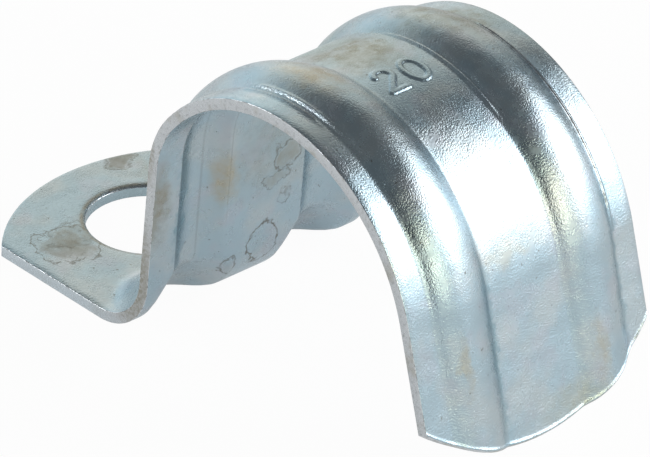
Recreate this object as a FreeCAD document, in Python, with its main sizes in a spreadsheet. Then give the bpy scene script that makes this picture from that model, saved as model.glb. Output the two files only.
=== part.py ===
"""Conduit strap: a one-hole saddle pressed from one strip of zinc-plated sheet steel.

The flat foot lies on the wall and takes one screw. The strip then bends up, arches over the
conduit and ends in a short flared tail. Two round beads are pressed into it side by side. They
run over the whole arch and down the upright, where each one meets a wider dart that braces the
bend at the foot.

The sheet is shaped as a press does it. A blank with the outer skin is filled with metal below,
beads and darts are added to it, and then the form of the punch is cut away: the same skin,
beads and darts, one sheet thickness further in. What is left is sheet of one thickness.

Frame: origin at the centre of the screw hole, on the underside of the foot. +X runs from the
foot towards the tail, +Y across the strip, +Z away from the wall. Millimetres and degrees.
"""
import FreeCAD, Part
import math
import os
import Sketcher

# Driving dimensions: alias, value and meaning.
DIMENSIONS = [
    ("strap_width", 16.0, "width of the strip"),
    ("sheet_thickness", 0.7, "thickness of the sheet"),
    ("seat_radius", 10.2, "inner radius of the arch, for a 20 mm conduit"),
    ("seat_height", 7.9, "axis of the arch above the wall plane"),
    ("upright_inset", 0.82, "upright nearer to that axis than the arch is"),
    ("shoulder_radius", 5.7, "inner radius between the upright and the arch"),
    ("upright_lean", 4.3, "lean of the upright towards the conduit"),
    ("tail_flare", 16.0, "outward lean of the tail"),
    ("tail_gap", 2.45, "tip of the tail above the wall plane"),
    ("bend_radius", 3.2, "radius of the bend on top of the foot"),
    ("hole_to_upright", 8.0, "screw hole to the foot of the upright"),
    ("hole_to_end", 6.6, "screw hole to the rounded end of the foot"),
    ("foot_radius", 10.7, "radius of the rounded end of the foot"),
    ("tail_radius", 12.0, "radius of the rounded end of the tail"),
    ("tail_skew", 0.5, "tip of the tail from the middle of the strip"),
    ("hole_diameter", 7.0, "clearance hole for an M6 screw"),
    ("hole_rim", 0.2, "rolled-over rim of the screw hole"),
    ("bead_spacing", 9.0, "middle of one bead to the middle of the other"),
    ("bead_width", 3.85, "width of a bead where it leaves the strip"),
    ("bead_height", 0.7, "height of a bead above the strip"),
    ("bead_fade", 1.2, "angle at which a bead sinks into the tail"),
    ("dart_reach", 3.7, "foot of the upright to the crest of a dart on the foot"),
    ("dart_slope", 45.0, "slope of a dart against the foot"),
    ("dart_radius", 3.7, "radius of a dart across its crest"),
]

# Room that the tools take past the metal; it leaves no trace on the part.
CLEAR = 2.0
DEPTH = 8.0

# Sizes that follow from the cells, as expressions. The section of a bead is a round of this
# radius, whose centre lies this far below the outer skin.
BEAD_RADIUS = "((Sizes.bead_width^2 / 4 + Sizes.bead_height^2) / (2 * Sizes.bead_height))"
BEAD_SINK = f"({BEAD_RADIUS} - Sizes.bead_height)"
SEAT_TO_UPRIGHT = "(Sizes.seat_radius + Sizes.sheet_thickness - Sizes.upright_inset)"
SEAT_X = (f"(Sizes.hole_to_upright + ({SEAT_TO_UPRIGHT}"
          " + Sizes.seat_height * sin(Sizes.upright_lean)) / cos(Sizes.upright_lean))")


def make_sheet(document):
    """The spreadsheet of driving dimensions; returns their values too."""
    sheet = document.addObject("Spreadsheet::Sheet", "Sizes")
    for row, (alias, value, meaning) in enumerate(DIMENSIONS, start=1):
        sheet.set(f"A{row}", meaning)
        sheet.set(f"B{row}", str(value))
        sheet.setAlias(f"B{row}", alias)
    document.recompute()
    return {alias: value for alias, value, _ in DIMENSIONS}


def origin_plane(body, role):
    """The body's own origin plane with that role, such as XY_Plane."""
    return next(item for item in body.Origin.OriginFeatures if item.Role == role)


def new_sketch(body, name, role):
    """An empty sketch on one of the body's origin planes."""
    sketch = body.newObject("Sketcher::SketchObject", name)
    sketch.AttachmentSupport = (origin_plane(body, role), "")
    sketch.MapMode = "FlatFace"
    return sketch


def point(x, y):
    return FreeCAD.Vector(x, y, 0)


def add_line(sketch, start, end):
    return sketch.addGeometry(Part.LineSegment(point(*start), point(*end)), False)


def add_arc(sketch, centre, radius, start, end):
    """A round stretch, counter-clockwise between two angles in radians."""
    circle = Part.Circle(point(*centre), FreeCAD.Vector(0, 0, 1), radius)
    return sketch.addGeometry(Part.ArcOfCircle(circle, start, end), False)


def size(sketch, name, expression, *where):
    """A named dimension that follows the spreadsheet."""
    index = sketch.addConstraint(Sketcher.Constraint(*where))
    sketch.renameConstraint(index, name)
    sketch.setExpression(f"Constraints.{name}", expression)


def join(sketch, first, first_end, second, second_end, smooth=True):
    """Two ends meet, smoothly or at a corner."""
    kind = "Tangent" if smooth else "Coincident"
    sketch.addConstraint(Sketcher.Constraint(kind, first, first_end, second, second_end))


START, END, CENTRE = 1, 2, 3
ORIGIN = (-1, 1)


def seat_values(values):
    """The axis of the arch, along the strip, and its distance from the upright's outer face."""
    lean = math.radians(values["upright_lean"])
    to_upright = values["seat_radius"] + values["sheet_thickness"] - values["upright_inset"]
    offset = (to_upright + values["seat_height"] * math.sin(lean)) / math.cos(lean)
    return values["hole_to_upright"] + offset, to_upright


def run_over_arch(sketch, values, drop, drop_expression, tail_end, fade=0.0,
                  fade_expression="0"):
    """Upright, shoulder, arch and tail, a drop below the outer skin.

    Returns the geometry numbers of the upright and the tail, the point where the upright is
    drawn from and the point where the tail ends. Fade turns the tail inwards a little, so that
    what follows this line sinks into the sheet towards the tip.
    """
    lean = math.radians(values["upright_lean"])
    flare = math.radians(values["tail_flare"] - fade)
    along = (math.sin(lean), math.cos(lean))
    across = (math.cos(lean), -math.sin(lean))
    seat_x, to_upright = seat_values(values)
    seat = (seat_x, values["seat_height"])
    seat_radius = values["seat_radius"] + values["sheet_thickness"] - drop
    shoulder_radius = values["shoulder_radius"] + values["sheet_thickness"] - drop

    # The shoulder touches the upright and the arch, so its centre follows from both.
    back = to_upright - drop - shoulder_radius
    rise = math.sqrt((seat_radius - shoulder_radius) ** 2 - back ** 2)
    shoulder = tuple(seat[i] - back * across[i] + rise * along[i] for i in (0, 1))
    meet = math.atan2(shoulder[1] - seat[1], shoulder[0] - seat[0])
    top = tuple(shoulder[i] - shoulder_radius * across[i] for i in (0, 1))
    foot = tuple(top[i] - 0.6 * values["seat_height"] * along[i] for i in (0, 1))
    leave = tuple(seat[i] + seat_radius * (math.cos(flare), math.sin(flare))[i] for i in (0, 1))
    run = (leave[1] - tail_end) / math.cos(flare)
    tip = (leave[0] + run * math.sin(flare), tail_end)

    upright = add_line(sketch, foot, top)
    bow = add_arc(sketch, shoulder, shoulder_radius, meet, math.pi - lean)
    arch = add_arc(sketch, seat, seat_radius, flare, meet)
    tail = add_line(sketch, leave, tip)
    join(sketch, upright, END, bow, END)
    join(sketch, bow, START, arch, END)
    join(sketch, arch, START, tail, START)

    thickness = "Sizes.sheet_thickness"
    size(sketch, "seat_x", SEAT_X, "DistanceX", *ORIGIN, arch, CENTRE, seat[0])
    size(sketch, "seat_y", "Sizes.seat_height", "DistanceY", *ORIGIN, arch, CENTRE, seat[1])
    size(sketch, "seat_radius", f"Sizes.seat_radius + {thickness} - {drop_expression}",
         "Radius", arch, seat_radius)
    size(sketch, "shoulder_radius", f"Sizes.shoulder_radius + {thickness} - {drop_expression}",
         "Radius", bow, shoulder_radius)
    size(sketch, "to_upright", f"{SEAT_TO_UPRIGHT} - {drop_expression}",
         "Distance", arch, CENTRE, upright, to_upright - drop)
    size(sketch, "lean", "90 - Sizes.upright_lean", "Angle", upright, math.pi / 2 - lean)
    size(sketch, "flare", f"Sizes.tail_flare - {fade_expression} - 90",
         "Angle", tail, flare - math.pi / 2)
    size(sketch, "tail_end", f"{-tail_end}", "DistanceY", tail, END, *ORIGIN, -tail_end)
    return upright, tail, foot, tip


def skin_sketch(body, name, values, drop, drop_expression, overrun):
    """Side view of everything below one skin of the sheet, filled down past the wall."""
    sketch = new_sketch(body, name, "XZ_Plane")
    floor = -DEPTH - overrun
    upright, tail, foot, tip = run_over_arch(sketch, values, drop, drop_expression, floor)
    level = values["sheet_thickness"] - drop
    radius = values["bend_radius"] + drop
    lean = math.radians(values["upright_lean"])
    left = -values["hole_to_end"] - CLEAR - overrun
    centre = (foot[0] - radius, level + radius)

    bend = add_arc(sketch, centre, radius, -math.pi / 2, -lean)
    base = add_line(sketch, (left, level), (centre[0], level))
    side = add_line(sketch, (left, floor), (left, level))
    bottom = add_line(sketch, tip, (left, floor))
    join(sketch, bend, END, upright, START)
    join(sketch, base, END, bend, START)
    join(sketch, side, END, base, START, smooth=False)
    join(sketch, bottom, END, side, START, smooth=False)
    join(sketch, tail, END, bottom, START, smooth=False)
    sketch.addConstraint(Sketcher.Constraint("Horizontal", base))
    sketch.addConstraint(Sketcher.Constraint("Vertical", side))
    sketch.addConstraint(Sketcher.Constraint("Horizontal", bottom))
    size(sketch, "bend_radius", f"Sizes.bend_radius + {drop_expression}",
         "Radius", bend, radius)
    size(sketch, "level", f"Sizes.sheet_thickness - {drop_expression} + {-floor}",
         "DistanceY", side, START, side, END, level - floor)
    size(sketch, "left", f"Sizes.hole_to_end + {CLEAR + overrun}",
         "DistanceX", side, END, *ORIGIN, -left)
    return sketch


def bead_values(values):
    """Radius of a bead's section and how far its centre lies below the outer skin."""
    height = values["bead_height"]
    radius = (values["bead_width"] ** 2 / 4 + height ** 2) / (2 * height)
    return radius, radius - height


def bead_plane_sketch(body, name, values):
    """An empty side-view sketch in the middle plane of one bead."""
    sketch = new_sketch(body, name, "XZ_Plane")
    sketch.AttachmentOffset = FreeCAD.Placement(
        FreeCAD.Vector(0, 0, values["bead_spacing"] / 2), FreeCAD.Rotation())
    sketch.setExpression("AttachmentOffset.Base.z", "Sizes.bead_spacing / 2")
    return sketch


def bead_path(body, values):
    """The line that the middle of a bead's section follows, from the bend to the tail."""
    sketch = bead_plane_sketch(body, "bead_path", values)
    _, sink = bead_values(values)
    upright, _, _, _ = run_over_arch(sketch, values, sink, BEAD_SINK, 0.0,
                                     values["bead_fade"], "Sizes.bead_fade")
    size(sketch, "bottom", f"{CLEAR}", "DistanceY", upright, START, *ORIGIN, CLEAR)
    return sketch


def dart_path(body, values):
    """The straight line that the middle of a dart's section follows, across the bend."""
    sketch = bead_plane_sketch(body, "dart_path", values)
    slope = math.radians(values["dart_slope"])
    radius = values["dart_radius"]
    crest_x = values["hole_to_upright"] - values["dart_reach"] - CLEAR
    crest_y = values["sheet_thickness"] - CLEAR * math.tan(slope)
    start = (crest_x + radius * math.sin(slope), crest_y - radius * math.cos(slope))
    run = (values["dart_reach"] + 2 * CLEAR) / math.cos(slope)
    end = (start[0] + run * math.cos(slope), start[1] + run * math.sin(slope))
    line = add_line(sketch, start, end)
    size(sketch, "slope", "Sizes.dart_slope", "Angle", line, slope)
    size(sketch, "run", f"(Sizes.dart_reach + {2 * CLEAR}) / cos(Sizes.dart_slope)",
         "Distance", line, run)
    size(sketch, "start_x",
         f"Sizes.hole_to_upright - Sizes.dart_reach - {CLEAR}"
         " + Sizes.dart_radius * sin(Sizes.dart_slope)",
         "DistanceX", *ORIGIN, line, START, start[0])
    size(sketch, "start_y",
         f"Sizes.dart_radius * cos(Sizes.dart_slope) + {CLEAR} * tan(Sizes.dart_slope)"
         " - Sizes.sheet_thickness",
         "DistanceY", line, START, *ORIGIN, -start[1])
    return sketch


def round_section(body, name, path, radius, expression):
    """The round section of a bead or dart, square to the start of its path."""
    sketch = body.newObject("Sketcher::SketchObject", name)
    sketch.AttachmentSupport = (path, "Edge1")
    sketch.MapMode = "NormalToEdge"
    circle = Part.Circle(point(0, 0), FreeCAD.Vector(0, 0, 1), radius)
    ring = sketch.addGeometry(circle, False)
    join(sketch, ring, CENTRE, *ORIGIN, smooth=False)
    size(sketch, "radius", expression, "Radius", ring, radius)
    return sketch


def extrude(body, kind, name, sketch, length, expression=None, reversed_=False, middle=False):
    """A pad or a pocket of one sketch."""
    feature = body.newObject(f"PartDesign::{kind}", name)
    feature.Profile = sketch
    if middle:
        feature.Midplane = True
    feature.Reversed = reversed_
    feature.Length = length
    if expression:
        feature.setExpression("Length", expression)
    body.Tip = feature
    return feature


def sweep(body, kind, name, path, radius, expression):
    """A round section along its path, and its twin on the other side of the strip."""
    section = round_section(body, f"{name}_section", path, radius, expression)
    pipe = body.newObject(f"PartDesign::{kind}", name)
    pipe.Profile = section
    pipe.Spine = path
    pipe.Mode = "Frenet"
    body.Tip = pipe
    twin = body.newObject("PartDesign::Mirrored", f"{name}_twin")
    twin.Originals = [pipe]
    twin.MirrorPlane = (origin_plane(body, "XZ_Plane"), [""])
    body.Tip = twin
    return twin


def end_cut_sketch(body, name, along, tip, tip_expression, values, skew=0.0,
                   skew_expression="0"):
    """What the parting tool takes off the foot or the tail: all that lies past an arc.

    The strip runs towards +along in the sketch, and the arc's lowest point is its tip.
    """
    sketch = new_sketch(body, f"{name}_end", "XY_Plane" if along == "X" else "YZ_Plane")
    across, aligned, axis = ("Y", "Vertical", -1) if along == "X" else ("X", "Horizontal", -2)
    half = values["strap_width"] / 2 + skew
    radius = values[f"{name}_radius"]
    spread = math.asin(half / radius)
    corner = tip + radius - math.sqrt(radius ** 2 - half ** 2)
    wide = half + CLEAR
    far = -2 * DEPTH
    facing, side, low, high = ((math.pi, 1, END, START) if along == "X"
                               else (-math.pi / 2, -1, START, END))

    def place(lengthwise, sideways):
        return (lengthwise, sideways) if along == "X" else (sideways, lengthwise)

    arc = add_arc(sketch, place(tip + radius, 0), radius, facing - spread, facing + spread)
    corners = [(corner, -side * half), (corner, -side * wide), (far, -side * wide),
               (far, side * wide), (corner, side * wide), (corner, side * half)]
    lines = [add_line(sketch, place(*start), place(*end))
             for start, end in zip(corners, corners[1:])]
    for first, second in zip(lines, lines[1:]):
        join(sketch, first, END, second, START, smooth=False)
    join(sketch, arc, END, lines[0], START, smooth=False)
    join(sketch, lines[-1], END, arc, START, smooth=False)

    square = "Horizontal" if along == "X" else "Vertical"
    for line, kind in ((0, aligned), (1, square), (3, square), (4, aligned)):
        sketch.addConstraint(Sketcher.Constraint(kind, lines[line]))
    sketch.addConstraint(Sketcher.Constraint(aligned, arc, START, arc, END))
    sketch.addConstraint(Sketcher.Constraint("PointOnObject", arc, CENTRE, axis))
    size(sketch, "radius", f"Sizes.{name}_radius", "Radius", arc, radius)
    size(sketch, "centre", f"{tip_expression} + Sizes.{name}_radius",
         f"Distance{along}", *ORIGIN, arc, CENTRE, tip + radius)
    size(sketch, "width", f"Sizes.strap_width + 2 * {skew_expression}",
         f"Distance{across}", arc, low, arc, high, 2 * half)
    size(sketch, "wide", f"Sizes.strap_width + 2 * {skew_expression} + {2 * CLEAR}",
         "Distance", lines[2], 2 * wide)
    sketch.addConstraint(Sketcher.Constraint("Symmetric", lines[2], START, lines[2], END, axis))
    size(sketch, "far", f"{-far}", f"Distance{along}", lines[2], START, *ORIGIN, -far)
    return sketch


def hole_sketch(body, values):
    """The screw hole's round."""
    sketch = new_sketch(body, "hole_round", "XY_Plane")
    radius = values["hole_diameter"] / 2
    circle = Part.Circle(point(0, 0), FreeCAD.Vector(0, 0, 1), radius)
    ring = sketch.addGeometry(circle, False)
    join(sketch, ring, CENTRE, *ORIGIN, smooth=False)
    size(sketch, "radius", "Sizes.hole_diameter / 2", "Radius", ring, radius)
    return sketch


def round_hole_rim(body, values):
    """The punch rolls the rim of the screw hole over on top of the foot."""
    hole = body.Tip
    radius = values["hole_diameter"] / 2
    top = values["sheet_thickness"]
    rims = [f"Edge{number}" for number, edge in enumerate(hole.Shape.Edges, start=1)
            if isinstance(edge.Curve, Part.Circle)
            and abs(edge.Curve.Radius - radius) < 1e-4
            and abs(edge.Curve.Center.z - top) < 1e-4]
    fillet = body.newObject("PartDesign::Fillet", "hole_rim")
    fillet.Base = (hole, rims)
    fillet.Radius = values["hole_rim"]
    fillet.setExpression("Radius", "Sizes.hole_rim")
    body.Tip = fillet
    return fillet


def make_strap(document, values):
    """The whole strap: one strip of sheet."""
    body = document.addObject("PartDesign::Body", "strap")
    body.Label = "strap"
    bead_radius, _ = bead_values(values)
    dart_radius = values["dart_radius"]
    thickness = values["sheet_thickness"]

    # The die: outer skin, beads and darts, solid underneath.
    outer = skin_sketch(body, "outer_skin", values, 0.0, "0", 0.0)
    extrude(body, "Pad", "blank", outer, values["strap_width"], "Sizes.strap_width",
            middle=True)
    along_bead = bead_path(body, values)
    along_dart = dart_path(body, values)
    document.recompute()
    sweep(body, "AdditivePipe", "beads", along_bead, bead_radius, BEAD_RADIUS)
    sweep(body, "AdditivePipe", "darts", along_dart, dart_radius, "Sizes.dart_radius")

    # The punch: all of that, one sheet thickness further in.
    inner = skin_sketch(body, "inner_skin", values, thickness, "Sizes.sheet_thickness", CLEAR)
    extrude(body, "Pocket", "punch", inner, values["strap_width"] + 2 * CLEAR,
            f"Sizes.strap_width + {2 * CLEAR}", middle=True)
    sweep(body, "SubtractivePipe", "bead_grooves", along_bead, bead_radius - thickness,
          f"{BEAD_RADIUS} - Sizes.sheet_thickness")
    sweep(body, "SubtractivePipe", "dart_grooves", along_dart, dart_radius - thickness,
          "Sizes.dart_radius - Sizes.sheet_thickness")

    # Rounded ends and the screw hole.
    foot_end = end_cut_sketch(body, "foot", "X", -values["hole_to_end"],
                              "-Sizes.hole_to_end", values)
    extrude(body, "Pocket", "foot_cut", foot_end, 4 * DEPTH, middle=True)
    tail_end = end_cut_sketch(body, "tail", "Y", values["tail_gap"], "Sizes.tail_gap",
                              values, values["tail_skew"], "Sizes.tail_skew")
    seat_x, _ = seat_values(values)
    tail_end.AttachmentOffset = FreeCAD.Placement(
        FreeCAD.Vector(-values["tail_skew"], 0, seat_x), FreeCAD.Rotation())
    tail_end.setExpression("AttachmentOffset.Base.x", "-Sizes.tail_skew")
    tail_end.setExpression("AttachmentOffset.Base.z", SEAT_X)
    extrude(body, "Pocket", "tail_cut", tail_end, 4 * DEPTH, reversed_=True)
    extrude(body, "Pocket", "screw_hole", hole_sketch(body, values), 4 * thickness,
            "4 * Sizes.sheet_thickness", middle=True)
    document.recompute()
    round_hole_rim(body, values)
    document.recompute()
    return body


def check(document):
    """Stop before anything is written if a feature or the shape failed."""
    for item in document.Objects:
        if {"Invalid", "Error"} & set(item.State):
            raise RuntimeError(f"{item.Name} failed: {item.State}")


def main():
    document = FreeCAD.newDocument("conduit_strap")
    values = make_sheet(document)
    strap = make_strap(document, values)
    check(document)
    shape = strap.Shape
    if shape.isNull() or not shape.isValid() or len(shape.Solids) != 1:
        raise RuntimeError("the strap is not one valid solid")
    os.makedirs("parts", exist_ok=True)
    shape.exportStep(f"parts/{strap.Label}.step")
    box = shape.BoundBox
    print(f"strap {box.XLength:.2f} x {box.YLength:.2f} x {box.ZLength:.2f} mm, "
          f"{shape.Volume:.1f} mm3, {len(shape.Faces)} faces")


main()
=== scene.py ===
"""A one-hole conduit strap of bright zinc-plated sheet steel, dressed for the studio.

The strap is made as the press makes it. A flat blank is laid out along the strip, its two ends
are sheared round, the screw hole is punched and the sheet gets its thickness. The blank is then
pressed: each point of it goes to its place on the bent strip, raised where a bead, a dart or
the number is. The sheared edges are dulled last.

Lengths are in millimetres until the finished mesh is brought to metres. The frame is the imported
part's: origin at the centre of the screw hole under the foot, +X towards the tail, +Z away from
the wall.
"""
import math

import bmesh
import bpy
from mathutils import Matrix, Vector


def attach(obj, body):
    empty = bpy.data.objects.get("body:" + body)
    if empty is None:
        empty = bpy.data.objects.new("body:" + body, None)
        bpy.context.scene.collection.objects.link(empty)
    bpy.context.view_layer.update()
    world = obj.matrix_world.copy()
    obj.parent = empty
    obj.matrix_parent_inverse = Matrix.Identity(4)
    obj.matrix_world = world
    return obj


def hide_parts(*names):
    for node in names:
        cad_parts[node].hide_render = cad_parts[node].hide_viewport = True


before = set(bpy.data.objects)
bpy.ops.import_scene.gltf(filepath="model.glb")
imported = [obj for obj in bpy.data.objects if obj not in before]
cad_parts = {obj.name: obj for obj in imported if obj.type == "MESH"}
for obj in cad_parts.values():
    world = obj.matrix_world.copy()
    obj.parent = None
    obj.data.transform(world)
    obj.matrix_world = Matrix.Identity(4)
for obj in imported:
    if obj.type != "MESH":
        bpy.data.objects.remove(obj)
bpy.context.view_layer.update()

MM = 0.001

# The strip, as it leaves the press.
HALF_WIDTH = 8.0
SHEET = 0.7
SEAT = Vector((18.702, 7.9))
ARCH_RADIUS = 10.9
SHOULDER_RADIUS = 6.4
UPRIGHT_INSET = 0.82
LEAN = math.radians(4.3)
FLARE = math.radians(16.0)
BEND_RADIUS = 3.2
UPRIGHT_FOOT = 8.0
FOOT_TIP = -6.6
FOOT_RADIUS = 10.7
TAIL_LENGTH = 12.0
TAIL_TIP = 2.45
TAIL_RADIUS = 12.0
TAIL_SKEW = 0.5
END_FOLLOWS_BEADS = 0.3
HOLE_RADIUS = 3.5
HOLE_RIM = 0.2
BEAD_Y = 4.5
BEAD_HALF = 1.925
BEAD_HEIGHT = 0.7
BEAD_FADE = math.radians(1.2)
DART_REACH = 3.7
DART_RADIUS = 3.7
DART_SLOPE = math.radians(135)
BEND_ZONE = 1.5
LEAST_SLANT = 0.3

# How finely the blank is divided, and how it is finished.
ROWS = 330
COLUMNS = 112
PLACE_STEPS = 12000
FOOT_STRETCH_X = 4.9
TAIL_STRETCH = 1.0
END_REACH = 0.5
END_CLOSER = 3.0
CREASE_REACH = 0.35
CREASE_CLOSER = 2.0
HOLE_PATCH = 4.7
RING_SHARES = (0.12, 0.25, 0.38, 0.51, 0.63, 0.74, 0.83, 0.9, 0.95, 0.98, 1.0)
TORN_FACE = 1
WORN_CORNER = 2
EDGE_DULL = 0.11
DULL_SEGMENTS = 3
DULL_ANGLE = math.radians(50)
DIE_CREASE = 0.17
PUNCH_CREASE = 0.12
DIE_DART_CREASE = 0.75
PUNCH_DART_CREASE = 0.4
EDGE_ROLL = 0.06
EDGE_ROLL_WIDTH = 0.45
RIM_ROLL = 0.6
RIM_ROLL_WIDTH = 3
NO_RISE = -9.0
BURR_HEIGHT = 0.08
BURR_CREST = 0.17
BURR_HALF = 0.09
BURR_FALL = 0.12
TORN_WIDTH = 0.13
DIE_MARK_HEIGHT = 0.1
DIE_MARK_HALF = 0.11
DIE_MARK_TAPER = 1.5


def turned(angle, length=1.0):
    """An arrow of a length, at an angle, in the side view."""
    return Vector((math.cos(angle) * length, math.sin(angle) * length))


def side_view():
    """Stretches of the strip's outer skin from foot to tail, seen from the side."""
    along = Vector((math.sin(LEAN), math.cos(LEAN)))
    across = Vector((math.cos(LEAN), -math.sin(LEAN)))
    back = ARCH_RADIUS - UPRIGHT_INSET - SHOULDER_RADIUS
    rise = math.sqrt((ARCH_RADIUS - SHOULDER_RADIUS) ** 2 - back ** 2)
    shoulder = SEAT - back * across + rise * along
    top = shoulder - SHOULDER_RADIUS * across
    meet = math.atan2(shoulder.y - SEAT.y, shoulder.x - SEAT.x)
    low = SHEET + BEND_RADIUS * (1 - math.sin(LEAN))
    bottom = top + along * ((low - top.y) / along.y)
    bend = bottom - BEND_RADIUS * across
    leave = SEAT + turned(FLARE, ARCH_RADIUS)
    return [
        ("line", Vector((FOOT_TIP, SHEET)), Vector((1, 0)), bend.x - FOOT_TIP),
        ("arc", bend, BEND_RADIUS, -math.pi / 2, math.pi / 2 - LEAN),
        ("line", bottom, along, (top - bottom).length),
        ("arc", shoulder, SHOULDER_RADIUS, math.pi - LEAN, meet - math.pi + LEAN),
        ("arc", SEAT, ARCH_RADIUS, meet, FLARE - meet),
        ("line", leave, Vector((math.sin(FLARE), -math.cos(FLARE))), TAIL_LENGTH),
    ]


STRETCHES = side_view()
LENGTHS = [stretch[3] if stretch[0] == "line" else abs(stretch[4]) * stretch[2]
           for stretch in STRETCHES]
BEND_STARTS, SHOULDER_STARTS, ARCH_STARTS, TAIL_STARTS = (
    sum(LENGTHS[:count]) for count in (1, 3, 4, 5))
CROWN = ARCH_STARTS + (STRETCHES[4][3] - math.pi / 2) * ARCH_RADIUS


def on_skin(run):
    """Place and outward direction on the outer skin, a run from the foot's tip."""
    for stretch, length in zip(STRETCHES, LENGTHS):
        if run <= length or stretch is STRETCHES[-1]:
            break
        run -= length
    if stretch[0] == "line":
        _, start, way, _ = stretch
        return start + way * run, Vector((-way.y, way.x))
    _, centre, radius, start, sweep = stretch
    out = turned(start + sweep * run / length)
    return centre + out * radius, out if sweep < 0 else -out


def soft_top(first, second, soft):
    """The higher of two heights, with a soft hollow where they meet."""
    share = max(soft - abs(first - second), 0.0) / soft
    return max(first, second) + share * share * soft / 4


BEAD_RADIUS = (BEAD_HALF ** 2 + BEAD_HEIGHT ** 2) / (2 * BEAD_HEIGHT)
UPRIGHT_OUT = Vector((-math.cos(LEAN), math.sin(LEAN)))
UPRIGHT_BOTTOM = STRETCHES[2][1]
DART_UP = turned(DART_SLOPE)
DART_AXIS = Vector((UPRIGHT_FOOT - DART_REACH, SHEET)).dot(DART_UP) - DART_RADIUS


def bead_rise(place, out, off_middle, fade, depth):
    """How far a bead stands off the skin at one depth in the sheet.

    On the bend it goes on straight down the upright.
    """
    inside = (BEAD_RADIUS - depth) ** 2 - off_middle ** 2
    if inside <= 0:
        return NO_RISE
    rise = math.sqrt(inside) - (BEAD_RADIUS - BEAD_HEIGHT - depth) - fade
    if place.y < UPRIGHT_BOTTOM.y and place.x < UPRIGHT_BOTTOM.x + BEND_ZONE:
        slant = out.dot(UPRIGHT_OUT)
        if slant < LEAST_SLANT:
            return NO_RISE
        off_upright = (place - UPRIGHT_BOTTOM).dot(UPRIGHT_OUT) + depth
        return (rise - off_upright) / slant
    return rise


def dart_rise(place, out, off_middle, depth):
    """How far a dart stands off the skin: a round of metal sloping across the bend."""
    inside = (DART_RADIUS - depth) ** 2 - off_middle ** 2
    slant = out.dot(DART_UP)
    if inside <= 0 or slant < LEAST_SLANT:
        return NO_RISE
    return (DART_AXIS - place.dot(DART_UP) + math.sqrt(inside)) / slant


def relief(run, y, place, out, depth, crease, dart_crease):
    """Height of the pressed form over the plain skin at one depth in the sheet."""
    off_middle = abs(y) - BEAD_Y
    fade = max(run - TAIL_STARTS, 0.0) * math.tan(BEAD_FADE)
    height = 0.0
    if run > BEND_STARTS:
        height = soft_top(height, bead_rise(place, out, off_middle, fade, depth), crease)
    if run < SHOULDER_STARTS:
        height = soft_top(height, dart_rise(place, out, off_middle, depth), dart_crease)
    return height


def off_stroke(point, stroke):
    """Distance from a point to one stroke of a figure: a bow or a straight stretch."""
    if stroke[0] == "bow":
        _, centre, radii, start, end = stroke
        away = Vector(((point.x - centre[0]) / radii[0], (point.y - centre[1]) / radii[1]))
        angle = math.atan2(away.y, away.x)
        while angle < start:
            angle += 2 * math.pi
        if angle > end:
            angle = min((start, end), key=lambda a: abs(math.remainder(a - angle, math.tau)))
        spot = Vector((centre[0] + radii[0] * math.cos(angle),
                       centre[1] + radii[1] * math.sin(angle)))
        return (point - spot).length
    _, start, end = stroke
    start, way = Vector(start), Vector(end) - Vector(start)
    share = min(max((point - start).dot(way) / way.length_squared, 0.0), 1.0)
    return (point - start - way * share).length


# The conduit's size, 20, as plain raised figures.
FIGURE_STROKES = [
    ("bow", (-0.95, 0.45), (0.52, 0.50), math.radians(-38), math.radians(172)),
    ("straight", (-0.55, 0.14), (-1.5, -0.95)),
    ("straight", (-1.5, -0.95), (-0.4, -0.95)),
    ("bow", (0.85, 0.0), (0.58, 0.95), 0.0, math.tau),
]
FIGURES_RUN = CROWN + 1.0
FIGURES_Y = -0.1
FIGURES_HALF_WIDE = 2.0
FIGURES_HALF_HIGH = 1.5
FIGURES_FINE_HIGH = 1.45
FIGURES_CUTS = 3
STROKE_HALF = 0.24
STROKE_HEIGHT = 0.075


def figure_rise(run, y):
    """Height of the raised figures, read from the tail's side."""
    point = Vector((y - FIGURES_Y, FIGURES_RUN - run))
    if abs(point.x) > FIGURES_HALF_WIDE or abs(point.y) > FIGURES_HALF_HIGH:
        return 0.0
    off = min(off_stroke(point, stroke) for stroke in FIGURE_STROKES)
    share = max(1 - (off / STROKE_HALF) ** 2, 0.0)
    return STROKE_HEIGHT * share * share * (3 - 2 * share)


# Beside the beads the die leaves fine raised lines: the place across, and the run from and to.
DIE_MARKS = [
    (BEAD_Y - BEAD_HALF - 0.05, CROWN - 3.6, CROWN + 6.4),
    (BEAD_Y + BEAD_HALF + 0.05, CROWN - 1.5, CROWN + 14.0),
    (-BEAD_Y - BEAD_HALF - 0.25, CROWN - 5.2, CROWN + 2.5),
    (-BEAD_Y - BEAD_HALF + 0.15, CROWN - 4.4, CROWN + 3.5),
]


def foot_edge(y):
    """Run at the sheared round end of the foot."""
    return FOOT_RADIUS - math.sqrt(FOOT_RADIUS ** 2 - y * y)


def tail_edge(y):
    """Run at the sheared round end of the tail."""
    level = TAIL_TIP + TAIL_RADIUS - math.sqrt(TAIL_RADIUS ** 2 - (y + TAIL_SKEW) ** 2)
    leave, out = on_skin(TAIL_STARTS)
    run = (leave.y - level) / math.cos(FLARE)
    height = relief(TAIL_STARTS + run, y, leave, out, 0.0, DIE_CREASE, DIE_DART_CREASE)
    return TAIL_STARTS + run + height * math.tan(FLARE) * END_FOLLOWS_BEADS


def places(length, count, spots, reach, closer):
    """Places of a row of corners along a length, closer together at certain spots."""
    shares = [0.0]
    for step in range(PLACE_STEPS):
        place = (step + 0.5) / PLACE_STEPS * length
        close = sum(math.exp(-((place - spot) / reach) ** 2) for spot in spots)
        shares.append(shares[-1] + 1.0 + closer * close)
    found = []
    step = 0
    for number in range(count + 1):
        while shares[step] < shares[-1] * number / count - 1e-6:
            step += 1
        found.append(step / PLACE_STEPS * length)
    return found


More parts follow.
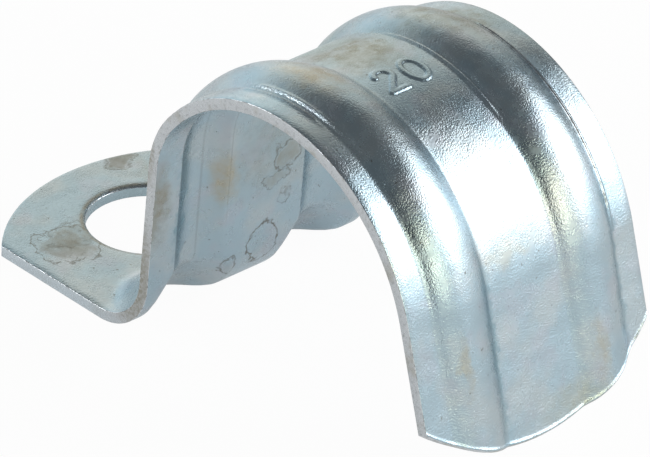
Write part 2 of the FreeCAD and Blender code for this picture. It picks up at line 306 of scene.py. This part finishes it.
def column_places():
    """Places of the blank's columns across the strip, closer together at the creases."""
    creases = [BEAD_Y - BEAD_HALF, BEAD_Y + BEAD_HALF, HALF_WIDTH]
    half = places(HALF_WIDTH, COLUMNS // 2, creases, CREASE_REACH, CREASE_CLOSER)
    return [-y for y in reversed(half[1:])] + half


def die_mark(run, y):
    """Height of the fine lines that the die's edges leave beside the beads."""
    height = 0.0
    for place, start, end in DIE_MARKS:
        if abs(y - place) < DIE_MARK_HALF and start < run < end:
            share = 1 - ((y - place) / DIE_MARK_HALF) ** 2
            taper = min(1.0, (run - start) / DIE_MARK_TAPER, (end - run) / DIE_MARK_TAPER)
            height = max(height, DIE_MARK_HEIGHT * share * taper)
    return height


def burr(run, y):
    """Height of the fine burr that the shears raise along the tail's end."""
    off_end = tail_edge(y) - run
    crest = math.exp(-((off_end - BURR_CREST) / BURR_HALF) ** 2)
    fall = max(1 - off_end / BURR_CREST, 0.0) ** 2
    uneven = 0.75 + 0.25 * math.sin(5.1 * y) * math.sin(2.3 * y + 1.0)
    return BURR_HEIGHT * crest * uneven - BURR_FALL * fall


def cut_blank():
    """The flat blank: run along x, width along y, both ends sheared round.

    A square of cells is left out where the hole comes.
    """
    steel = bmesh.new()
    bmesh.ops.create_grid(steel, x_segments=ROWS, y_segments=COLUMNS, size=1.0)
    foot_part = FOOT_STRETCH_X - FOOT_TIP
    tail_part = TAIL_STARTS - TAIL_STRETCH
    longest = tail_edge(-TAIL_SKEW)
    rows = places(longest, ROWS, [longest], END_REACH, END_CLOSER)
    columns = column_places()
    for corner in steel.verts:
        corner.co.x = rows[round((corner.co.x + 1) / 2 * ROWS)]
        corner.co.y = columns[round((corner.co.y + 1) / 2 * COLUMNS)]
    gone = [face for face in steel.faces
            if all(max(abs(v.co.x + FOOT_TIP), abs(v.co.y)) < HOLE_PATCH for v in face.verts)]
    bmesh.ops.delete(steel, geom=gone, context="FACES")
    for corner in steel.verts:
        run, y, _ = corner.co
        if run < foot_part:
            edge = foot_edge(y)
            run = edge + run / foot_part * (foot_part - edge)
        elif run > tail_part:
            run = tail_part + ((run - tail_part) / (longest - tail_part)
                               * (tail_edge(y) - tail_part))
        corner.co.x = run
    for face in steel.faces:
        if all(tail_edge(v.co.y) - v.co.x < TORN_WIDTH for v in face.verts):
            face.material_index = TORN_FACE
    return steel


def punch_hole(steel):
    """Rings of cells close in on the hole's rim."""
    middle = Vector((-FOOT_TIP, 0.0))
    ring = [edge for edge in steel.edges if edge.is_boundary
            and all(max(abs(v.co.x - middle.x), abs(v.co.y)) < HOLE_PATCH for v in edge.verts)]
    before = 0.0
    for share in RING_SHARES:
        made = bmesh.ops.extrude_edge_only(steel, edges=ring)["geom"]
        corners = {item for item in made if isinstance(item, bmesh.types.BMVert)}
        ring = [item for item in made if isinstance(item, bmesh.types.BMEdge)
                and all(v in corners for v in item.verts)]
        for corner in corners:
            away = corner.co.xy - middle
            first = (away.length - HOLE_RADIUS * before) / (1 - before)
            away.length = first + (HOLE_RADIUS - first) * share
            corner.co.xy = middle + away
        before = share


def refine_figures(steel):
    """Finer cells where the figures are raised."""
    cells = [face for face in steel.faces
             if abs(face.calc_center_median().x - FIGURES_RUN) < FIGURES_FINE_HIGH
             and abs(face.calc_center_median().y - FIGURES_Y) < FIGURES_HALF_WIDE]
    edges = list({edge for face in cells for edge in face.edges})
    bmesh.ops.subdivide_edges(steel, edges=edges, cuts=FIGURES_CUTS, use_grid_fill=True)


def thicken(steel):
    """The flat blank gets its thickness; what the shears cut is marked as torn."""
    bmesh.ops.recalc_face_normals(steel, faces=steel.faces)
    if steel.faces[0].normal.z < 0:
        bmesh.ops.reverse_faces(steel, faces=steel.faces)
    skin = list(steel.faces)
    copied = bmesh.ops.duplicate(steel, geom=skin)
    under = [item for item in copied["geom"] if isinstance(item, bmesh.types.BMFace)]
    bmesh.ops.reverse_faces(steel, faces=under)
    for corner in {corner for face in under for corner in face.verts}:
        corner.co.z = -SHEET
    below = copied["vert_map"]
    for edge in [edge for edge in steel.edges if edge.is_boundary and edge.verts[0].co.z == 0]:
        first, second = edge.verts
        loop = edge.link_loops[0]
        if loop.vert is not first:
            first, second = second, first
        rim = steel.faces.new((second, first, below[first], below[second]))
        rim.material_index = TORN_FACE


def roll_rim(off_hole):
    """How far the punch has rolled the hole's rim over, on top of the foot."""
    share = max(1 - off_hole / (RIM_ROLL_WIDTH * HOLE_RIM), 0.0)
    return HOLE_RIM * RIM_ROLL * share ** 3


def roll_side(y):
    """How far the shears have rolled the strip's sides over."""
    share = max(1 - (HALF_WIDTH - abs(y)) / EDGE_ROLL_WIDTH, 0.0)
    return EDGE_ROLL * share ** 2


def press(steel):
    """Each point of the blank goes to its place on the pressed strip."""
    for corner in steel.verts:
        run, y, low = corner.co
        place, out = on_skin(run)
        if low < -SHEET / 2:
            height = relief(run, y, place - out * SHEET, out, SHEET,
                            PUNCH_CREASE, PUNCH_DART_CREASE) - SHEET
        else:
            off_hole = math.hypot(run + FOOT_TIP, y) - HOLE_RADIUS
            height = (relief(run, y, place, out, 0.0, DIE_CREASE, DIE_DART_CREASE)
                      + figure_rise(run, y) + die_mark(run, y)
                      - roll_rim(off_hole) - roll_side(y))
            if run > TAIL_STARTS:
                height += burr(run, y)
        spot = place + out * height
        corner.co = (spot.x, y, spot.y)


def finish_piece(steel, name, materials):
    """A piece of the object from a bmesh in millimetres."""
    bmesh.ops.transform(steel, matrix=Matrix.Scale(MM, 4), verts=steel.verts)
    mesh = bpy.data.meshes.new(name)
    steel.to_mesh(mesh)
    steel.free()
    piece = bpy.data.objects.new(name, mesh)
    bpy.context.scene.collection.objects.link(piece)
    for material in materials:
        mesh.materials.append(material)
    return piece


def apply_modifiers(piece):
    """The mesh keeps what its modifiers make of it."""
    evaluated = piece.evaluated_get(bpy.context.evaluated_depsgraph_get())
    mesh = bpy.data.meshes.new_from_object(evaluated)
    piece.modifiers.clear()
    piece.data = mesh


def make_strap(materials):
    """The strap, pressed from its blank, with its cut corners dulled."""
    steel = cut_blank()
    punch_hole(steel)
    refine_figures(steel)
    thicken(steel)
    press(steel)
    strap = finish_piece(steel, "strap_pressed", materials)
    dull = strap.modifiers.new("dull", "BEVEL")
    dull.width = EDGE_DULL * MM
    dull.segments = DULL_SEGMENTS
    dull.limit_method = "ANGLE"
    dull.angle_limit = DULL_ANGLE
    dull.material = WORN_CORNER
    apply_modifiers(strap)
    strap.data.shade_smooth()
    return strap


# ---------------------------------------------------------------- finishes

class Finish:
    """A material under construction: its nodes are added one by one and wired up."""

    def __init__(self, name):
        self.material = bpy.data.materials.new(name)
        self.material.use_nodes = True
        self.nodes = self.material.node_tree.nodes
        self.links = self.material.node_tree.links
        self.nodes.clear()
        self.output = self.nodes.new("ShaderNodeOutputMaterial")

    def feed(self, socket, value):
        """A socket takes another node's output or a plain value."""
        if isinstance(value, bpy.types.NodeSocket):
            self.links.new(value, socket)
        else:
            socket.default_value = value

    def maths(self, kind, first, second=0.0):
        """Arithmetic on two numbers."""
        node = self.nodes.new("ShaderNodeMath")
        node.operation = kind
        self.feed(node.inputs[0], first)
        self.feed(node.inputs[1], second)
        return node.outputs[0]

    def vectors(self, kind, first, second=(0.0, 0.0, 0.0)):
        """Arithmetic on two places or directions."""
        node = self.nodes.new("ShaderNodeVectorMath")
        node.operation = kind
        self.feed(node.inputs[0], first)
        if kind == "SCALE":
            self.feed(node.inputs["Scale"], second)
        elif kind != "LENGTH":
            self.feed(node.inputs[1], second)
        return node.outputs["Value" if kind in ("LENGTH", "DOT_PRODUCT") else "Vector"]

    def ramp(self, value, low, high, at_low, at_high):
        """A value spread smoothly from one range to another."""
        node = self.nodes.new("ShaderNodeMapRange")
        node.interpolation_type = "SMOOTHSTEP"
        for name, number in zip(("Value", "From Min", "From Max", "To Min", "To Max"),
                                (value, low, high, at_low, at_high)):
            self.feed(node.inputs[name], number)
        return node.outputs[0]

    def noise(self, place, scale, detail=2.0, roughness=0.5):
        """Cloudy unevenness, with a scale per millimetre."""
        node = self.nodes.new("ShaderNodeTexNoise")
        for name, value in zip(("Vector", "Scale", "Detail", "Roughness"),
                               (place, scale, detail, roughness)):
            self.feed(node.inputs[name], value)
        return node

    def tint(self, share, under, over):
        """One colour laid over another by a share."""
        node = self.nodes.new("ShaderNodeMix")
        node.data_type = "RGBA"
        self.feed(node.inputs["Factor"], share)
        for name, colour in (("A", under), ("B", over)):
            socket = next(item for item in node.inputs
                          if item.name == name and item.type == "RGBA")
            self.feed(socket, colour if isinstance(colour, bpy.types.NodeSocket)
                      else (*colour, 1.0))
        return next(item for item in node.outputs if item.type == "RGBA")

    def near(self, place, middle, reach, core, strength):
        """How far off a patch's middle a place is, as a share of its reach, and the patch's
        strength there: full inside its core, fading to nothing at its reach.
        """
        off = self.vectors("DIVIDE", self.vectors("SUBTRACT", place, middle), reach)
        away = self.vectors("LENGTH", off)
        return away, self.ramp(away, core, 1.0, strength, 0.0)

    def millimetres(self):
        """The place on the piece, in millimetres."""
        place = self.nodes.new("ShaderNodeTexCoord").outputs["Object"]
        return self.vectors("SCALE", place, 1 / MM)

    def bump(self, heights):
        """Unevenness of the surface, each as a height in millimetres."""
        under = None
        for height, size in heights:
            node = self.nodes.new("ShaderNodeBump")
            node.inputs["Strength"].default_value = 1.0
            node.inputs["Distance"].default_value = size * MM
            self.feed(node.inputs["Height"], height)
            if under is not None:
                self.feed(node.inputs["Normal"], under)
            under = node.outputs[0]
        return under

    def metal(self, colour, roughness, normal=None):
        """Bare metal of a colour is what the material shows."""
        skin = self.nodes.new("ShaderNodeBsdfPrincipled")
        skin.inputs["Metallic"].default_value = 1.0
        self.feed(skin.inputs["Base Color"], colour)
        self.feed(skin.inputs["Roughness"], roughness)
        if normal is not None:
            self.feed(skin.inputs["Normal"], normal)
        self.feed(self.output.inputs["Surface"], skin.outputs[0])
        return self.material


BLUE_ZINC = (0.42, 0.535, 0.60)
PALE_ZINC = (0.49, 0.56, 0.59)
DEEP_ZINC = (0.39, 0.50, 0.56)
VIOLET_ZINC = (0.50, 0.50, 0.56)
TORN_ZINC = (0.62, 0.65, 0.68)
TORN_PATCH = (0.42, 0.41, 0.36)
TORN_HOLLOW = (0.28, 0.29, 0.30)
# Painted light: the lighter, bluer cut edge on the foot's near side.
PAINTED_LIGHT_EDGE_ZINC = (0.68, 0.77, 0.83)
BORE_ZINC = (0.40, 0.53, 0.58)
CORNER_DIRT = (0.27, 0.27, 0.27)
CORNER_SHINE = (0.70, 0.73, 0.76)
GREY_BROWN = (0.34, 0.33, 0.28)
DARK_LINE = (0.17, 0.17, 0.15)
BEIGE = (0.46, 0.43, 0.34)
FILM = (0.248, 0.256, 0.204)
PALE_FILM = (0.44, 0.46, 0.40)
# Painted shade: a dark blue laid along the bead creases and in the grooves inside the upright.
PAINTED_CREASE_SHADE = (0.23, 0.36, 0.42)
BROWN_FILM = (0.42, 0.375, 0.28)
TEAL = (0.30, 0.46, 0.44)

# How fine each unevenness of the zinc is, per millimetre, and how high in millimetres.
SHADES_SCALE = 0.33
CLOUDS_SCALE = 1.3
VIOLET_SCALE = 0.55
WANDER_SCALE = 1.0
WANDER = 1.7
SPECKS_SCALE = 3.4
GRAIN_SCALE = 11.0
GRAIN_HEIGHT = 0.022
WAVES_SCALE = 0.6
WAVES_HEIGHT = 0.05
TORN_SCALE = 4.5
TORN_HEIGHT = 0.03

# Half the width of a stain's outline in millimetres, and the shares of the marks' reach that
# are at full strength.
STAIN_LINE = 0.13
STAIN_CORE = 0.6
TINT_AND_SHADE_CORE = 0.25
# The next two set the painted shade lines in the groove: their core share and how dark they are.
GROOVE_SHADE_LINE_CORE = 0.3
GROOVE_SHADE_LINE_STRENGTH = 0.22
STAIN_DULLNESS = 0.2
RIM_DIRT = 0.8

# The marks inside the upright fade out where the surface turns from facing the tail to facing
# away from it: half the range of that turn, as a cosine.
INNER_BLEND = 0.15

# Where water dried on the foot: the middle and the reach of each stain, how strong its patch is
# and in which colour, and how strong its outline is.
STAINS = [
    ((-0.7, -5.2, 0.7), (1.9, 1.9, 0.5), 0.60, GREY_BROWN, 0.75),
    ((-1.4, -4.5, 0.7), (1.2, 1.4, 0.5), 0.30, GREY_BROWN, 0.45),
    ((-5.7, 2.9, 0.7), (0.65, 1.2, 0.5), 0.80, GREY_BROWN, 0.6),
]

# The same inside the upright, on faces that look towards the tail.
INNER_STAINS = [
    ((9.3, 1.6, 8.6), (0.8, 1.1, 0.9), 0.55, GREY_BROWN, 0.7),
    ((9.3, 0.9, 7.3), (0.7, 0.9, 0.4), 0.35, GREY_BROWN, 0.6),
    ((9.2, 1.5, 5.9), (0.7, 0.4, 0.5), 0.1, GREY_BROWN, 0.5),
    ((9.0, 0.3, 3.3), (1.5, 1.05, 1.2), 0.10, GREY_BROWN, 0.9),
    ((8.7, -2.0, 2.45), (0.9, 0.5, 0.6), 0.10, GREY_BROWN, 0.7),
]

# Where the plating's film shimmers in another colour, or is dull, with soft edges, and where
# painted shade lies along the bead creases.
FILM_TINTS_AND_CREASE_SHADE = [
    ((-0.7, -5.0, 0.7), (0.9, 1.0, 0.5), 0.75, DARK_LINE),
    ((17.4, -4.3, 19.0), (3.4, 2.0, 1.6), 0.80, BROWN_FILM),
    ((17.0, 5.4, 18.7), (4.0, 3.4, 1.9), 0.95, FILM),
    ((15.6, 0.0, 18.2), (5.0, 3.6, 2.4), 1.0, FILM),
    ((13.2, 0.3, 17.0), (2.6, 3.0, 1.8), 0.6, TEAL),
    ((30.5, -5.1, 7.9), (1.0, 0.5, 2.6), 0.60, BEIGE),
    ((31.1, 4.1, 5.6), (1.0, 0.7, 3.0), 0.60, BEIGE),
    ((28.5, -0.9, 12.4), (1.0, 3.0, 0.9), 0.50, BEIGE),
    ((31.0, 2.6, 3.4), (1.6, 3.8, 1.6), 0.75, PALE_FILM),
    ((-3.2, 3.6, 0.7), (2.4, 1.6, 0.5), 0.35, BEIGE),
    # The next two are painted shade: dark blue bands along the bead creases.
    ((29.5, -2.7, 8.0), (4.5, 0.55, 10.0), 0.75, PAINTED_CREASE_SHADE),
    ((29.0, 6.3, 10.0), (4.5, 0.45, 10.0), 0.60, PAINTED_CREASE_SHADE),
    ((11.2, 0.0, 15.2), (4.0, 7.0, 3.6), 0.60, TEAL),
]

# The same inside the upright, on faces that look towards the tail, with painted shade in its
# grooves.
INNER_FILM_TINTS_AND_GROOVE_SHADE = [
    ((9.6, 0.5, 9.5), (1.8, 5.0, 4.5), 0.35, FILM),
    ((9.3, -7.9, 9.0), (1.2, 1.35, 3.8), 1.0, GREY_BROWN),
    ((9.2, -2.8, 8.7), (1.4, 1.25, 2.2), 0.9, BEIGE),
    # The next two are painted shade: dark blue bands in the grooves inside the upright.
    ((9.6, -5.65, 7.0), (3.5, 0.75, 13.0), 0.95, PAINTED_CREASE_SHADE),
    ((9.6, 3.5, 7.0), (2.0, 0.75, 9.0), 0.60, PAINTED_CREASE_SHADE),
]

# Dirt on the sheared edge: the middle and the reach of each patch.
EDGE_DIRT = [
    ((7.6, -8.0, 4.5), (2.2, 1.0, 5.0)),
    ((8.4, -8.0, 12.0), (1.2, 1.0, 3.0)),
    ((31.0, -3.0, 2.2), (2.5, 4.4, 1.4)),
    ((31.0, 4.5, 2.8), (2.5, 5.0, 1.9)),
]

# The foot's near side and the hole's wall, where the cut edge is lighter and bluer. On the foot's
# near side this is painted light, a painted reflection of the lit floor.
FOOT_FRONT_PAINTED_LIGHT = ((-1.0, -8.0, 0.35), (9.0, 1.5, 1.5))
BORE = ((0.0, 0.0, 0.35), (4.5, 4.5, 4.5))

# Fine straight dark lines of painted shade inside, along the groove where its corners are crisp:
# the middle and the reach of each.
GROOVE_SHADE_LINES = [
    ((9.6, -4.1, 7.5), (3.0, 0.12, 10.0)),
    ((9.6, -2.6, 10.0), (3.0, 0.08, 6.0)),
]


def zinc_plate():
    """Bright zinc plate on cold-rolled sheet: blue-white, finely grained, a little stained; painted
    shade at creases and grooves.
    """
    zinc = Finish("zinc_plate")
    place = zinc.millimetres()
    soft = zinc.noise(place, SHADES_SCALE, 3.0)
    clouds = zinc.noise(place, CLOUDS_SCALE, 4.0, 0.6)
    grain = zinc.noise(place, GRAIN_SCALE, 2.0)
    stray = zinc.noise(place, WANDER_SCALE, 3.0, 0.6).outputs["Color"]
    wander = zinc.vectors("SUBTRACT", stray, (0.5, 0.5, 0.5))
    drift = zinc.vectors("ADD", place, zinc.vectors("SCALE", wander, WANDER))

    film = zinc.ramp(soft.outputs["Fac"], 0.42, 0.62, 0.0, 1.0)
    colour = zinc.tint(film, BLUE_ZINC, PALE_ZINC)
    fine = zinc.ramp(clouds.outputs["Fac"], 0.35, 0.7, 0.0, 0.3)
    colour = zinc.tint(fine, colour, DEEP_ZINC)
    violet = zinc.ramp(zinc.noise(place, VIOLET_SCALE, 2.0).outputs["Fac"], 0.5, 0.7, 0.0, 0.3)
    colour = zinc.tint(violet, colour, VIOLET_ZINC)

    mottled = zinc.ramp(clouds.outputs["Fac"], 0.35, 0.65, 0.6, 1.0)
    facing = zinc.nodes.new("ShaderNodeTexCoord").outputs["Normal"]
    forward = zinc.vectors("DOT_PRODUCT", facing, (1.0, 0.0, 0.0))
    inner = zinc.ramp(forward, -INNER_BLEND, INNER_BLEND, 0.0, 1.0)
    # Among these marks are dark blue bands of painted shade along the creases and in the grooves.
    for marks, shown in ((FILM_TINTS_AND_CREASE_SHADE, 1.0), (INNER_FILM_TINTS_AND_GROOVE_SHADE, inner)):
        for middle, reach, patch, shade in marks:
            _, inside = zinc.near(drift, middle, reach, TINT_AND_SHADE_CORE, patch)
            inside = zinc.maths("MULTIPLY", inside, shown)
            colour = zinc.tint(zinc.maths("MULTIPLY", inside, mottled), colour, shade)
    broken = zinc.ramp(clouds.outputs["Fac"], 0.38, 0.50, 0.3, 1.0)
    dulled = 0.0
    for marks, shown in ((STAINS, 1.0), (INNER_STAINS, inner)):
        for middle, reach, patch, shade, outline in marks:
            away, inside = zinc.near(drift, middle, reach, STAIN_CORE, patch)
            inside = zinc.maths("MULTIPLY", inside, shown)
            colour = zinc.tint(zinc.maths("MULTIPLY", inside, mottled), colour, shade)
            dulled = zinc.maths("MAXIMUM", dulled, inside)
            off_line = zinc.maths("ABSOLUTE", zinc.maths("SUBTRACT", away, 1.0))
            line = zinc.ramp(off_line, 0.0, STAIN_LINE / sorted(reach)[1], outline, 0.0)
            line = zinc.maths("MULTIPLY", line, shown)
            colour = zinc.tint(zinc.maths("MULTIPLY", line, broken), colour, DARK_LINE)

    off_axis = zinc.vectors("LENGTH", zinc.vectors("MULTIPLY", place, (1.0, 1.0, 0.0)))
    off_rim = zinc.maths("ABSOLUTE", zinc.maths("SUBTRACT", off_axis, HOLE_RADIUS + HOLE_RIM))
    rim_dirt = zinc.maths("MULTIPLY", zinc.ramp(off_rim, 0.0, HOLE_RIM, RIM_DIRT, 0.0), broken)
    colour = zinc.tint(rim_dirt, colour, GREY_BROWN)
    # Painted shade: fine dark lines along the groove inside the upright.
    for middle, reach in GROOVE_SHADE_LINES:
        _, inside = zinc.near(place, middle, reach, GROOVE_SHADE_LINE_CORE, GROOVE_SHADE_LINE_STRENGTH)
        colour = zinc.tint(zinc.maths("MULTIPLY", inside, inner), colour, DARK_LINE)
    specks = zinc.ramp(zinc.noise(place, SPECKS_SCALE, 1.0).outputs["Fac"], 0.76, 0.78, 0.0, 0.6)
    colour = zinc.tint(specks, colour, DARK_LINE)
    dullness = zinc.ramp(clouds.outputs["Fac"], 0.3, 0.75, 0.22, 0.30)
    dullness = zinc.maths("ADD", dullness, zinc.maths("MULTIPLY", dulled, STAIN_DULLNESS))

    waves = zinc.noise(place, WAVES_SCALE, 1.0)
    uneven = zinc.bump([(waves.outputs["Fac"], WAVES_HEIGHT), (grain.outputs["Fac"], GRAIN_HEIGHT)])
    return zinc.metal(colour, dullness, uneven)


def sheared_edge():
    """The cut edge of the sheet: plated too, but torn by the shears, with painted light on the
    foot's near side.
    """
    edge = Finish("sheared_edge")
    place = edge.millimetres()
    patches = edge.noise(place, 0.5, 4.0, 0.6)
    torn = edge.noise(place, TORN_SCALE, 3.0, 0.6)
    colour = edge.tint(edge.ramp(patches.outputs["Fac"], 0.5, 0.72, 0.0, 0.8),
                       TORN_ZINC, TORN_PATCH)
    colour = edge.tint(edge.ramp(torn.outputs["Fac"], 0.5, 0.75, 0.0, 0.6),
                       colour, TORN_HOLLOW)
    # Painted light: the foot's near side is made lighter and bluer, as a painted reflection of the
    # lit floor.
    _, painted_light_share = edge.near(place, *FOOT_FRONT_PAINTED_LIGHT, 0.5, 0.8)
    colour = edge.tint(painted_light_share, colour, PAINTED_LIGHT_EDGE_ZINC)
    held = edge.ramp(torn.outputs["Fac"], 0.4, 0.6, 0.5, 1.0)
    for middle, reach in EDGE_DIRT:
        _, inside = edge.near(place, middle, reach, 0.4, 0.95)
        colour = edge.tint(edge.maths("MULTIPLY", inside, held), colour, GREY_BROWN)
    _, bore = edge.near(place, *BORE, 0.9, 0.85)
    colour = edge.tint(bore, colour, BORE_ZINC)
    dullness = edge.ramp(torn.outputs["Fac"], 0.3, 0.7, 0.24, 0.36)
    return edge.metal(colour, dullness, edge.bump([(torn.outputs["Fac"], TORN_HEIGHT)]))


def worn_corner():
    """The corner between skin and cut edge: dark with dirt, and rubbed bright in flecks."""
    corner = Finish("worn_corner")
    place = corner.millimetres()
    flecks = corner.ramp(corner.noise(place, 3.0, 3.0, 0.6).outputs["Fac"], 0.42, 0.52, 0.0, 1.0)
    colour = corner.tint(flecks, CORNER_DIRT, CORNER_SHINE)
    return corner.metal(colour, corner.ramp(flecks, 0.0, 1.0, 0.35, 0.22))


strap = make_strap([zinc_plate(), sheared_edge(), worn_corner()])
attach(strap, "root")
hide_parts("strap")


# ---------------------------------------------------------------- studio

FLOOR_GREY = (0.8, 0.8, 0.8, 1.0)
FLOOR_HALF = 1500.0
FLOOR_LEVEL = -0.03
GLOW_SEEN = 0.96
GLOW_IN_SHINE = 0.35


def white_floor():
    """Almost all glow to the eye, with a faint shadow. In the metal's shine about a third glow."""
    floor = Finish("studio_floor")
    sheen = floor.nodes.new("ShaderNodeBsdfDiffuse")
    sheen.inputs["Color"].default_value = FLOOR_GREY
    glow = floor.nodes.new("ShaderNodeEmission")
    rays = floor.nodes.new("ShaderNodeLightPath")
    seen = floor.maths("MULTIPLY", rays.outputs["Is Camera Ray"], GLOW_SEEN)
    shiny = floor.maths("MAXIMUM", rays.outputs["Is Glossy Ray"],
                        rays.outputs["Is Transmission Ray"])
    mix = floor.nodes.new("ShaderNodeMixShader")
    mirrored = floor.maths("MULTIPLY", shiny, GLOW_IN_SHINE)
    floor.feed(mix.inputs["Fac"], floor.maths("MAXIMUM", seen, mirrored))
    floor.feed(mix.inputs[1], sheen.outputs[0])
    floor.feed(mix.inputs[2], glow.outputs[0])
    floor.feed(floor.output.inputs["Surface"], mix.outputs[0])
    return floor.material


def make_floor():
    """The floor, just under the foot."""
    ground = bmesh.new()
    bmesh.ops.create_grid(ground, x_segments=1, y_segments=1, size=FLOOR_HALF)
    bmesh.ops.translate(ground, verts=ground.verts, vec=(0, 0, FLOOR_LEVEL))
    floor = finish_piece(ground, "studio_floor", [white_floor()])


STRAP_MIDDLE = Vector((16.7, 0.0, 9.0)) * MM
BOX_DISTANCE = 0.6


def bearing(azimuth, elevation):
    """A direction, with azimuth counted from -Y towards +X, in radians."""
    return Vector((math.sin(azimuth) * math.cos(elevation),
                   -math.cos(azimuth) * math.cos(elevation), math.sin(elevation)))


def softbox(name, azimuth, elevation, half_wide, half_high, level, colour=(1.0, 1.0, 1.0)):
    """An area lamp facing the strap. Its bearing and half its width and height are degrees."""
    lamp = bpy.data.lights.new(name, "AREA")
    lamp.shape = "RECTANGLE"
    lamp.size = 2 * BOX_DISTANCE * math.tan(math.radians(half_wide))
    lamp.size_y = 2 * BOX_DISTANCE * math.tan(math.radians(half_high))
    lamp.energy = level * math.pi * lamp.size * lamp.size_y
    lamp.color = colour
    item = bpy.data.objects.new(name, lamp)
    bpy.context.scene.collection.objects.link(item)
    way = bearing(math.radians(azimuth), math.radians(elevation))
    item.location = STRAP_MIDDLE + way * BOX_DISTANCE
    item.rotation_euler = way.to_track_quat("Z", "Y").to_euler()


# Black cards that hold light off: bearing, core and reach in degrees, and how much is left.
FLAGS = [
    (103, 20, 5, 16, 0.65),
    (42, 24, 14, 30, 0.05),
    (205, 8, 14, 32, 0.2),
]

# The lamps: bearing, half the width and height in degrees, level, and colour where not white.
SOFTBOXES = [
    ("main_box", 139, 33, 27, 18, 3.6),
    ("low_box", 140, 5, 34, 9, 0.65),
    ("warm_box", 80, 23, 11, 14.5, 2.9, (1.0, 0.93, 0.68)),
    ("back_box", -135, 24, 18, 24, 0.60, (1.0, 0.94, 0.80)),
    ("side_box", -98, 22, 16, 20, 0.35, (0.84, 1.0, 0.98)),
    ("rim_box", -50, 20, 8, 9, 7.0),
    ("line_box", -17, 30, 9, 8, 5.0),
]

ROOM_COLOUR = (0.90, 0.96, 1.0, 1.0)
ROOM_LOW, ROOM_HIGH = 0.1, 0.85
LEVEL_LOW, LEVEL_HIGH = 0.80, 0.15


def spread(nodes, low, high, at_low, at_high):
    """A node that spreads a value smoothly from one range to another."""
    node = nodes.new("ShaderNodeMapRange")
    node.interpolation_type = "SMOOTHSTEP"
    node.inputs["From Min"].default_value = low
    node.inputs["From Max"].default_value = high
    node.inputs["To Min"].default_value = at_low
    node.inputs["To Max"].default_value = at_high
    return node


def hold_off(nodes, links, way, level, flag):
    """The room's level, held down behind one black card."""
    azimuth, elevation, core, reach = (math.radians(angle) for angle in flag[:4])
    off = nodes.new("ShaderNodeVectorMath")
    off.operation = "DOT_PRODUCT"
    off.inputs[1].default_value = bearing(azimuth, elevation)
    links.new(way, off.inputs[0])
    shade = spread(nodes, math.cos(reach), math.cos(core), 1.0, flag[4])
    links.new(off.outputs["Value"], shade.inputs["Value"])
    held = nodes.new("ShaderNodeMath")
    held.operation = "MULTIPLY"
    links.new(level, held.inputs[0])
    links.new(shade.outputs[0], held.inputs[1])
    return held.outputs[0]


def light_studio():
    """A room brighter low down than overhead, with black cards in it, and the lamps."""
    world = bpy.data.worlds.new("studio")
    bpy.context.scene.world = world
    world.use_nodes = True
    nodes, links = world.node_tree.nodes, world.node_tree.links
    nodes.clear()
    output = nodes.new("ShaderNodeOutputWorld")
    way = nodes.new("ShaderNodeTexCoord").outputs["Generated"]
    parts = nodes.new("ShaderNodeSeparateXYZ")
    height = spread(nodes, ROOM_LOW, ROOM_HIGH, LEVEL_LOW, LEVEL_HIGH)
    links.new(way, parts.inputs[0])
    links.new(parts.outputs["Z"], height.inputs["Value"])
    level = height.outputs[0]
    for flag in FLAGS:
        level = hold_off(nodes, links, way, level, flag)
    room = nodes.new("ShaderNodeBackground")
    room.inputs["Color"].default_value = ROOM_COLOUR
    links.new(level, room.inputs["Strength"])
    white = nodes.new("ShaderNodeBackground")
    white.inputs["Color"].default_value = (1.0, 1.0, 1.0, 1.0)
    rays = nodes.new("ShaderNodeLightPath")
    mix = nodes.new("ShaderNodeMixShader")
    links.new(rays.outputs["Is Camera Ray"], mix.inputs["Fac"])
    links.new(room.outputs[0], mix.inputs[1])
    links.new(white.outputs[0], mix.inputs[2])
    links.new(mix.outputs[0], output.inputs["Surface"])
    for box in SOFTBOXES:
        softbox(*box)


CAMERA_AZIMUTH = 0.8196
CAMERA_ELEVATION = 0.5474
CAMERA_ROLL = 0.0311
CAMERA_DISTANCE = 0.42119
CAMERA_LENS = 443.08
SENSOR_WIDTH = 36.0
NEAREST_SEEN = 0.01
AIM = Vector((16.69, 0.0, 11.2))
AIM_ACROSS = 1.858
AIM_ABOVE = 2.806


def make_camera():
    """A long lens, looking down on the strap's near side and tail."""
    back = bearing(CAMERA_AZIMUTH, CAMERA_ELEVATION)
    right = Vector((math.cos(CAMERA_AZIMUTH), math.sin(CAMERA_AZIMUTH), 0.0))
    up = back.cross(right)
    across = math.cos(CAMERA_ROLL) * right + math.sin(CAMERA_ROLL) * up
    above = math.cos(CAMERA_ROLL) * up - math.sin(CAMERA_ROLL) * right
    aim = (AIM - AIM_ACROSS * across - AIM_ABOVE * above) * MM
    lens = bpy.data.cameras.new("studio_camera")
    lens.sensor_width = SENSOR_WIDTH
    lens.lens = CAMERA_LENS
    lens.clip_start = NEAREST_SEEN
    camera = bpy.data.objects.new("studio_camera", lens)
    bpy.context.scene.collection.objects.link(camera)
    rows = [(across[i], above[i], back[i], aim[i] + back[i] * CAMERA_DISTANCE) for i in range(3)]
    camera.matrix_world = Matrix((*rows, (0.0, 0.0, 0.0, 1.0)))
    bpy.context.scene.camera = camera


make_floor()
light_studio()
make_camera()
bpy.context.scene.view_settings.view_transform = "Standard"
